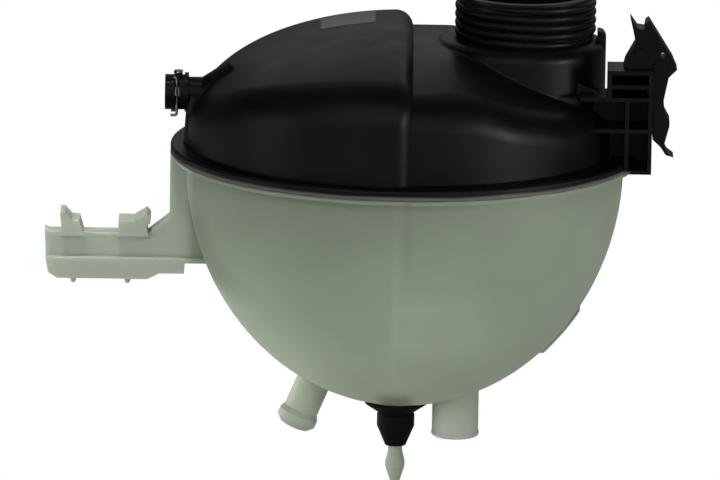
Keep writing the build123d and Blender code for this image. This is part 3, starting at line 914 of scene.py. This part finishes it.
class Finishes:
    """Every finish of the tank, made once."""

    def __init__(self, plan: TankPlan) -> None:
        """Build the materials.

        Args:
            plan: The tank's main sizes.
        """
        # Glass-filled polyamide: the near black of the housing, dull all over.
        self.housing = MouldedBlack("moulded_black_polyamide", roughness=0.41).build()
        self.bowl = self.milky_wall(plan)
        # Acetal from a smoother tool: as black as the housing, with tighter lights.
        self.clip = MouldedBlack(
            "moulded_black_acetal", roughness=0.35, ior=1.48, dark="#040505", light="#080909"
        ).build()
        self.wire = DrawnSteel("drawn_spring_steel", roughness=0.25).build()
        # Moulded rubber: soft black with hardly a light on it.
        self.rubber = PlainMoulding(
            "moulded_rubber",
            roughness=0.6,
            ior=1.52,
            dark="#060707",
            light="#0a0b0b",
            specular=0.06,
            cloud_mm=3.0,
            bump_mm=0.05,
        ).build()
        # Foamed plastic: dark grey and matt.
        self.float = PlainMoulding(
            "foamed_float_plastic", roughness=0.6, dark="#242624", light="#2e302d"
        ).build()
        # Pressed and fired ferrite: charcoal, with a dull ceramic shine.
        self.magnet = PlainMoulding(
            "pressed_ferrite", roughness=0.5, ior=1.6, dark="#1b1b1d", light="#2a2a2c"
        ).build()
        # Uncoloured nylon: off-white and a little glossy.
        self.retainer = PlainMoulding(
            "natural_nylon", roughness=0.45, ior=1.53, dark="#c4c3bb", light="#d4d3cb"
        ).build()
        # Polyester film: a flat grey patch, smoother than the plastic around it.
        self.label = PlainMoulding(
            "blank_polyester_film", roughness=0.35, ior=1.6, dark="#343532", light="#41423e"
        ).build()
        # Polypropylene melted together with the black of the housing: a dull grey-green.
        self.flash = PlainMoulding(
            "remelted_polypropylene", roughness=0.5, ior=1.49, dark="#363b34", light="#4c5148"
        ).build()

    @staticmethod
    def milky_wall(plan: TankPlan) -> bpy.types.Material:
        """Make the bowl's finish, with painted shade and light for what shows through its wall.

        Args:
            plan: The tank's main sizes.

        Returns:
            The finished material.
        """
        # Painted shade of the baffle, with a painted pale stripe beside it, a painted lighter patch
        # above the float, painted shade of the float's well, and the painted shadow of the rubber
        # below the bowl's boss, all as seen through the wall.
        baffle = PaintedThroughPatch(x_mm=(2.2, 4.8), z_mm=(80.0, 118.0), soft_mm=3.0, strength=-0.07)
        beside = PaintedThroughPatch(x_mm=(-3.0, 0.5), z_mm=(24.0, 118.0), soft_mm=3.0, strength=0.05)
        upper_light_patch = PaintedThroughPatch(x_mm=(-1.0, 38.0), z_mm=(44.0, 70.0), soft_mm=12.0, strength=0.09)
        well = PaintedThroughPatch(x_mm=(6.0, 36.0), z_mm=(14.0, 38.0), soft_mm=5.0, strength=-0.04)
        rubber = PaintedThroughPatch(x_mm=(-7.5, 6.0), z_mm=(0.0, 19.5), soft_mm=7.0, strength=-0.6)
        return NaturalPolypropylene(
            "natural_polypropylene",
            roughness=0.42,
            ior=1.49,
            plan=plan,
            painted_patches=(baffle, beside, upper_light_patch, well, rubber),
        ).build()

    def dress(self, nodes: dict[str, Any]) -> None:
        """Give each solid of the frame its finish.

        Args:
            nodes: The frame's solids by name.
        """
        chosen = {
            "lower_tank_shell": self.bowl,
            "upper_tank_shell": self.housing,
            "vent_retaining_clip": self.wire,
            "vent_seal_ring": self.rubber,
            "line_clip": self.clip,
            "mounting_grommet": self.rubber,
            "level_float": self.float,
            "float_magnet": self.magnet,
            "float_retainer": self.retainer,
        }
        for name, material in chosen.items():
            mesh = nodes[name].data
            mesh.materials.clear()
            mesh.materials.append(material)
            LOG.info("%s: %s", name, material.name)


@dataclass(frozen=True)
class SoftBox:
    """A soft box that faces the tank.

    Its azimuth and elevation are degrees round the point that it faces, from the camera's side
    to the right, and above it. Its spread is how far its grid lets the light fan out, in
    degrees, and its aim is X and Z of the point that it faces.
    """

    name: str
    azimuth: float
    elevation: float
    distance_m: float
    size_m: tuple[float, float]
    watts: float
    spread: float = 180.0
    aim_mm: tuple[float, float] = (0.0, 160.0)

    def hang(self) -> None:
        """Put the lamp into the scene."""
        data = bpy.data.lights.new(self.name, "AREA")
        data.shape, data.energy = "RECTANGLE", self.watts
        data.size, data.size_y = self.size_m
        data.spread = math.radians(self.spread)
        lamp = bpy.data.objects.new(self.name, data)
        turn, rise = math.radians(self.azimuth), math.radians(self.elevation)
        level = math.cos(rise)
        back = Vector((math.sin(turn) * level, -math.cos(turn) * level, math.sin(rise)))
        aim = Vector((self.aim_mm[0], 0.0, self.aim_mm[1])) * MM
        lamp.location = aim + back * self.distance_m
        lamp.rotation_mode = "QUATERNION"
        lamp.rotation_quaternion = (-back).to_track_quat("-Z", "Y")
        lamp.visible_camera = False
        bpy.context.scene.collection.objects.link(lamp)


@dataclass
class Studio:
    """White floor and background, soft lamps, and the camera at the photograph's angle."""

    target_mm: tuple[float, float, float] = (-16.4, 0.0, 77.9)
    distance_m: float = 5.0
    elevation_deg: float = 12.0
    roll_deg: float = 0.9
    pixels_per_mm: float = 2.35
    sensor_mm: float = 36.0
    clip_m: tuple[float, float] = (0.05, 100.0)
    room_light: float = 0.05
    backdrop_light: float = 0.14
    backdrop_edge: tuple[float, float] = (0.4, 0.85)
    floor_drop_mm: float = 75.0
    floor_size_m: float = 12.0
    floor_tone: str = "#f2f3f1"
    floor_glow: float = 0.8
    shadow_m: tuple[float, float] = (0.1, 0.32)
    boxes: tuple[SoftBox, ...] = (
        # The light on the roof and along the hump's rear edge.
        SoftBox(
            "overhead_box", azimuth=180, elevation=66, distance_m=1.0, size_m=(1.3, 0.8), watts=1.55
        ),
        SoftBox(
            "rear_box", azimuth=165, elevation=25, distance_m=1.0, size_m=(1.3, 0.4), watts=1.0
        ),
        # Narrow lights on the bowl's left edge and on the end of the arm.
        SoftBox(
            "rim_box", azimuth=-116, elevation=0, distance_m=0.7, size_m=(0.2, 0.06), watts=0.04,
            spread=14, aim_mm=(0, 40),
        ),
        SoftBox(
            "arm_box", azimuth=-20, elevation=78, distance_m=0.6, size_m=(0.1, 0.06), watts=0.024,
            spread=12, aim_mm=(-145, 85),
        ),
        # Gridded boxes for the streaks on the tower, the neck and the right of the housing.
        SoftBox(
            "side_box_right", azimuth=60, elevation=2, distance_m=0.8, size_m=(0.36, 0.2),
            watts=0.2, spread=22,
        ),
        SoftBox(
            "side_box_near", azimuth=38, elevation=2, distance_m=0.8, size_m=(0.3, 0.14),
            watts=0.022, spread=9, aim_mm=(30, 170),
        ),
        SoftBox(
            "side_box_far", azimuth=88, elevation=2, distance_m=0.8, size_m=(0.3, 0.14),
            watts=0.016, spread=9, aim_mm=(40, 170),
        ),
        # The light from the left, and the broad one in front that shows the colours.
        SoftBox(
            "side_box_left", azimuth=-72, elevation=-3, distance_m=0.8, size_m=(0.36, 0.26),
            watts=1.3,
        ),
        SoftBox(
            "front_fill", azimuth=-14, elevation=20, distance_m=1.6, size_m=(2.2, 1.4), watts=21.6
        ),
    )

    def build(self) -> None:
        """Make the world, the floor, the lamps and the camera."""
        self.world()
        self.floor()
        for box in self.boxes:
            box.hang()
        self.camera()
        bpy.context.scene.view_settings.view_transform = "Standard"

    @staticmethod
    def seen(tree: bpy.types.NodeTree) -> bpy.types.NodeSocket:
        """Tell the rays that see the white background from those that light the tank.

        Args:
            tree: The tree of the world or the floor.

        Returns:
            One for a ray that sees white, and zero for any other.
        """
        path = add_node(tree, "ShaderNodeLightPath").outputs
        # Glossy rays are left out, or the black roof, seen at a low angle, would turn grey.
        rays = {0: path["Is Camera Ray"], 1: path["Is Transmission Ray"]}
        return add_node(tree, "ShaderNodeMath", rays, operation="MAXIMUM").outputs["Value"]

    def world(self) -> None:
        """Make a white backdrop, which lights the tank weakly, and a dark room before it."""
        world = bpy.data.worlds.new("studio_room")
        world.use_nodes = True
        bpy.context.scene.world = world
        tree = world.node_tree
        tree.nodes.clear()
        way = add_node(tree, "ShaderNodeTexCoord").outputs["Generated"]
        behind = add_node(tree, "ShaderNodeSeparateXYZ", {"Vector": way}).outputs["Y"]
        light = add_node(
            tree,
            "ShaderNodeMapRange",
            {
                "Value": behind,
                "From Min": self.backdrop_edge[0],
                "From Max": self.backdrop_edge[1],
                "To Min": self.room_light,
                "To Max": self.backdrop_light,
            },
        ).outputs["Result"]
        strength = add_node(
            tree, "ShaderNodeMath", {0: self.seen(tree), 1: light}, operation="MAXIMUM"
        ).outputs["Value"]
        white = add_node(
            tree, "ShaderNodeBackground", {"Color": linear(WHITE), "Strength": strength}
        ).outputs[0]
        add_node(tree, "ShaderNodeOutputWorld", {"Surface": white})

    def floor(self) -> None:
        """Lay a white card well below the peg, which takes the soft shadow and runs out white."""
        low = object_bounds()[0].z - self.floor_drop_mm * MM
        bpy.ops.mesh.primitive_plane_add(size=self.floor_size_m, location=(0, 0, low))
        plane = bpy.context.object
        plane.name = "studio_floor"
        material = bpy.data.materials.new("matt_white_card")
        material.use_nodes = True
        tree = material.node_tree
        tree.nodes.clear()
        card = add_node(
            tree, "ShaderNodeBsdfDiffuse", {"Color": linear(self.floor_tone)}
        ).outputs[0]
        white = add_node(
            tree, "ShaderNodeEmission", {"Color": linear(WHITE), "Strength": 1.0}
        ).outputs[0]
        spot = add_node(tree, "ShaderNodeTexCoord").outputs["Object"]
        reach = add_node(
            tree, "ShaderNodeVectorMath", {0: spot}, operation="LENGTH"
        ).outputs["Value"]
        glow = add_node(
            tree,
            "ShaderNodeMapRange",
            {
                "Value": reach,
                "From Min": self.shadow_m[0],
                "From Max": self.shadow_m[1],
                "To Min": self.floor_glow,
                "To Max": 1.0,
            },
            interpolation_type="SMOOTHSTEP",
        ).outputs["Result"]
        share = add_node(
            tree, "ShaderNodeMath", {0: self.seen(tree), 1: glow}, operation="MULTIPLY"
        ).outputs["Value"]
        mix = add_node(tree, "ShaderNodeMixShader", {0: share, 1: card, 2: white}).outputs[0]
        add_node(tree, "ShaderNodeOutputMaterial", {"Surface": mix})
        plane.data.materials.append(material)
        plane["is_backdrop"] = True

    def camera(self) -> None:
        """Place the camera, tilted a little as the photograph is."""
        rise, roll = math.radians(self.elevation_deg), math.radians(self.roll_deg)
        back = Vector((0.0, -math.cos(rise), math.sin(rise)))
        right, up = Vector((1.0, 0.0, 0.0)), Vector((0.0, math.sin(rise), math.cos(rise)))
        turned_right = right * math.cos(roll) + up * math.sin(roll)
        turned_up = up * math.cos(roll) - right * math.sin(roll)
        data = bpy.data.cameras.new("photo_camera")
        field = PHOTO_WIDTH / self.pixels_per_mm * MM
        data.sensor_width = self.sensor_mm
        data.lens = self.sensor_mm * self.distance_m / field
        data.clip_start, data.clip_end = self.clip_m
        camera = bpy.data.objects.new("photo_camera", data)
        camera.matrix_world = Matrix((turned_right, turned_up, back)).transposed().to_4x4()
        camera.location = Vector(self.target_mm) * MM + back * self.distance_m
        bpy.context.scene.collection.objects.link(camera)
        bpy.context.scene.camera = camera


def main() -> None:
    """Load the frame, dress it, add the pieces and set the studio."""
    logging.basicConfig(level=logging.INFO, format="%(message)s")
    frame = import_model()
    plan = TankPlan()
    finishes = Finishes(plan)
    finishes.dress(frame["nodes"])
    NeckThread(plan).build(finishes.housing)
    WeldFlash(plan).build(finishes.flash)
    BlankLabel(plan).build(finishes.label)
    Studio().build()


if __name__ == "__main__":
    main()
